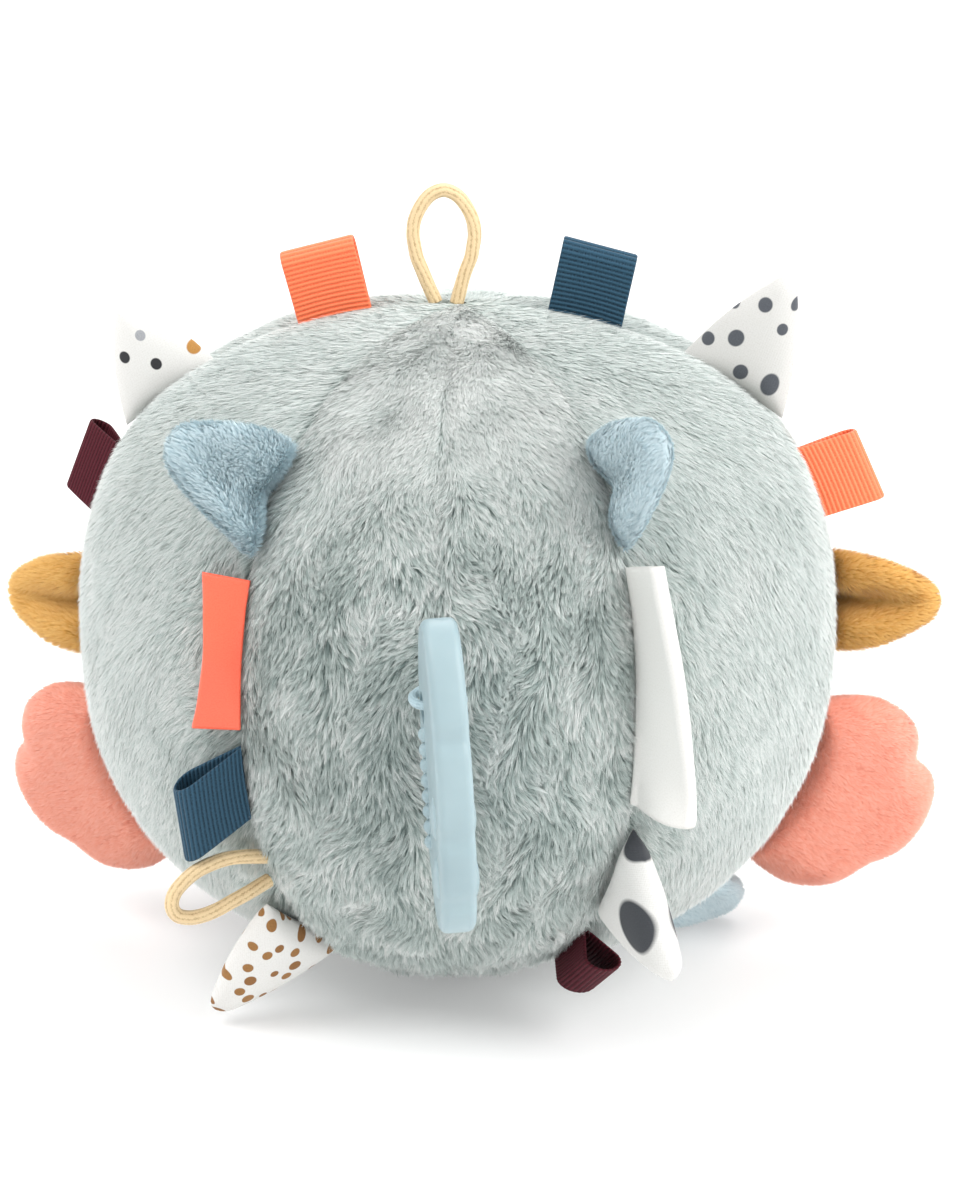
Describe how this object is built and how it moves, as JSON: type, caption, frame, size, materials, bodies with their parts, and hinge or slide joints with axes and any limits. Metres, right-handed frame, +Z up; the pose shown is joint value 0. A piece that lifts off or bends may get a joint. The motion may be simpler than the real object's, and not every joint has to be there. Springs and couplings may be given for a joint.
{
  "type": "plush sensory ball",
  "caption": "Soft plush activity ball sewn from gores round stuffing and a rattle, with ears, feet, printed points, ribbon and elastic loops and a teether sewn into its seams.",
  "frame": {"origin": "middle of the small flat that the ball rests on", "axes": "+Z up, -Y towards the side with the teether, +X towards the viewer's right in the picture"},
  "size_m": [0.2092, 0.1987, 0.1693],
  "materials": {
    "sage_plush": "short soft pile",
    "stuffing": "fibre fill",
    "capsule": "satin",
    "bead": "gloss",
    "elastic": "woven cord",
    "orange_ribbon": "ribbed grosgrain",
    "navy_ribbon": "ribbed grosgrain",
    "maroon_ribbon": "ribbed grosgrain",
    "orange_label": "satin",
    "white_label": "satin",
    "printed_cotton": "plain weave with printed dots",
    "mustard_plush": "velour",
    "blue_plush": "velour",
    "pink_plush": "velour",
    "silicone": "matte",
    "tie_cord": "woven cord"
  },
  "bodies": {
    "ball": {"panel_back_left": "sage_plush", "panel_back_right": "sage_plush", "panel_right_rear": "sage_plush", "panel_right_front": "sage_plush", "panel_front": "sage_plush", "panel_left_front": "sage_plush", "panel_left_rear": "sage_plush", "bottom_patch": "sage_plush", "stuffing_lower": "stuffing", "stuffing_upper": "stuffing", "capsule_lower": "capsule", "capsule_upper": "capsule", "elastic_loop_top": "elastic", "elastic_loop_side": "elastic"},
    "rattle": {"rattle_ball": "bead"},
    "tie": {"teether_tie": "tie_cord"},
    "teether": {"teether": "silicone"},
    "ribbon_top_left": {"ribbon_top_left": "orange_ribbon"},
    "ribbon_top_right": {"ribbon_top_right": "navy_ribbon"},
    "ribbon_left": {"ribbon_left": "maroon_ribbon"},
    "ribbon_right": {"ribbon_right": "orange_ribbon"},
    "ribbon_back_left": {"ribbon_back_left": "navy_ribbon"},
    "ribbon_bottom": {"ribbon_bottom": "maroon_ribbon"},
    "point_top_left": {"point_top_left": "printed_cotton"},
    "point_top_right": {"point_top_right": "printed_cotton"},
    "point_low_left": {"point_low_left": "printed_cotton"},
    "point_low_right": {"point_low_right": "printed_cotton"},
    "ear_back_left": {"ear_back_left": "blue_plush"},
    "ear_back_right": {"ear_back_right": "blue_plush"},
    "ear_low_front": {"ear_low_front": "blue_plush"},
    "ear_left": {"ear_left": "mustard_plush"},
    "ear_right": {"ear_right": "mustard_plush"},
    "foot_left": {"foot_left": "pink_plush"},
    "foot_right": {"foot_right": "pink_plush"},
    "flag_label": {"flag_label": "orange_label"},
    "folded_label": {"folded_label": "white_label"}
  },
  "joints": [
    {"name": "rattle_shake", "type": "slide", "parent": "ball", "child": "rattle", "axis": [0, 0, 1], "range_m": [0, 0.02]},
    {"name": "ribbon_top_left_bend", "type": "hinge", "parent": "ball", "child": "ribbon_top_left", "pos_m": [-0.02699, 0, 0.14281], "axis": [0.9706, 0, 0.2406], "range_deg": [-30, 30], "stiffness_Nm_per_rad": 0.003},
    {"name": "ribbon_top_right_bend", "type": "hinge", "parent": "ball", "child": "ribbon_top_right", "pos_m": [0.02699, 0, 0.14281], "axis": [-0.9706, 0, 0.2406], "range_deg": [-30, 30], "stiffness_Nm_per_rad": 0.003},
    {"name": "ribbon_left_bend", "type": "hinge", "parent": "ball", "child": "ribbon_left", "pos_m": [-0.07504, 0, 0.10591], "axis": [0.4168, 0, 0.909], "range_deg": [-3, 30], "stiffness_Nm_per_rad": 0.003},
    {"name": "ribbon_right_bend", "type": "hinge", "parent": "ball", "child": "ribbon_right", "pos_m": [0.07442, 0, 0.1072], "axis": [-0.438, 0, 0.899], "range_deg": [-30, 30], "stiffness_Nm_per_rad": 0.003},
    {"name": "ribbon_back_left_bend", "type": "hinge", "parent": "ball", "child": "ribbon_back_left", "pos_m": [-0.04002, -0.06931, 0.05839], "axis": [-0.0936, -0.1622, 0.9823], "range_deg": [0, 30], "stiffness_Nm_per_rad": 0.003},
    {"name": "ribbon_bottom_bend", "type": "hinge", "parent": "ball", "child": "ribbon_bottom", "pos_m": [0.02638, -0.04569, 0.01592], "axis": [0.4028, -0.6977, 0.5924], "range_deg": [-30, 30], "stiffness_Nm_per_rad": 0.003},
    {"name": "point_top_left_bend", "type": "hinge", "parent": "ball", "child": "point_top_left", "pos_m": [-0.06188, 0, 0.12442], "axis": [0.7213, 0, 0.6926], "range_deg": [-30, 30], "stiffness_Nm_per_rad": 0.006},
    {"name": "point_top_right_bend", "type": "hinge", "parent": "ball", "child": "point_top_right", "pos_m": [0.06084, 0, 0.12539], "axis": [-0.7367, 0, 0.6762], "range_deg": [-30, 30], "stiffness_Nm_per_rad": 0.006},
    {"name": "point_low_left_bend", "type": "hinge", "parent": "ball", "child": "point_low_left", "pos_m": [-0.03005, -0.05204, 0.02207], "axis": [-0.3619, -0.6269, 0.69], "range_deg": [-3, 30], "stiffness_Nm_per_rad": 0.006},
    {"name": "point_low_right_bend", "type": "hinge", "parent": "ball", "child": "point_low_right", "pos_m": [0.03643, -0.0631, 0.03853], "axis": [0.2429, -0.4207, 0.8741], "range_deg": [-30, 30], "stiffness_Nm_per_rad": 0.006},
    {"name": "ear_back_left_bend", "type": "hinge", "parent": "ball", "child": "ear_back_left", "pos_m": [-0.0338, -0.05854, 0.1181], "axis": [0.3093, 0.5356, 0.7858], "range_deg": [-23, 30], "stiffness_Nm_per_rad": 0.006},
    {"name": "ear_back_right_bend", "type": "hinge", "parent": "ball", "child": "ear_back_right", "pos_m": [0.03335, -0.05777, 0.11921], "axis": [-0.3184, 0.5515, 0.771], "range_deg": [-30, 30], "stiffness_Nm_per_rad": 0.006},
    {"name": "ear_low_front_bend", "type": "hinge", "parent": "ball", "child": "ear_low_front", "pos_m": [0.04716, 0, 0.01214], "axis": [0.8531, 0, 0.5218], "range_deg": [-30, 0], "stiffness_Nm_per_rad": 0.006},
    {"name": "ear_left_bend", "type": "hinge", "parent": "ball", "child": "ear_left", "pos_m": [-0.08125, 0, 0.07676], "axis": [0.0267, 0, 0.9996], "range_deg": [-10, 30], "stiffness_Nm_per_rad": 0.006},
    {"name": "ear_right_bend", "type": "hinge", "parent": "ball", "child": "ear_right", "pos_m": [0.0812, 0, 0.07818], "axis": [-0.0393, 0, 0.9992], "range_deg": [-30, 30], "stiffness_Nm_per_rad": 0.006},
    {"name": "foot_left_bend", "type": "hinge", "parent": "ball", "child": "foot_left", "pos_m": [-0.07181, 0, 0.0367], "axis": [-0.5132, 0, 0.8583], "range_deg": [-3, 30], "stiffness_Nm_per_rad": 0.02},
    {"name": "foot_right_bend", "type": "hinge", "parent": "ball", "child": "foot_right", "pos_m": [0.07181, 0, 0.0367], "axis": [0.5132, 0, 0.8583], "range_deg": [-30, 13], "stiffness_Nm_per_rad": 0.02},
    {"name": "flag_label_bend", "type": "hinge", "parent": "ball", "child": "flag_label", "pos_m": [-0.04029, -0.06978, 0.08598], "axis": [0.0625, 0.1082, 0.9922], "range_deg": [0, 45], "stiffness_Nm_per_rad": 0.002},
    {"name": "folded_label_bend", "type": "hinge", "parent": "ball", "child": "folded_label", "pos_m": [0.04055, -0.07023, 0.08031], "axis": [-0.0301, 0.0521, 0.9982], "range_deg": [-25, 6], "stiffness_Nm_per_rad": 0.004},
    {"name": "tie_swing", "type": "hinge", "parent": "ball", "child": "tie", "pos_m": [0, -0.08081, 0.08386], "axis": [0, 0, 1], "range_deg": [-25, 16], "stiffness_Nm_per_rad": 0.02},
    {"name": "teether_tilt", "type": "hinge", "parent": "tie", "child": "teether", "pos_m": [0.00234, -0.09411, 0.08386], "axis": [0.9848, 0.1736, 0], "range_deg": [-30, 3], "stiffness_Nm_per_rad": 0.02}
  ]
}
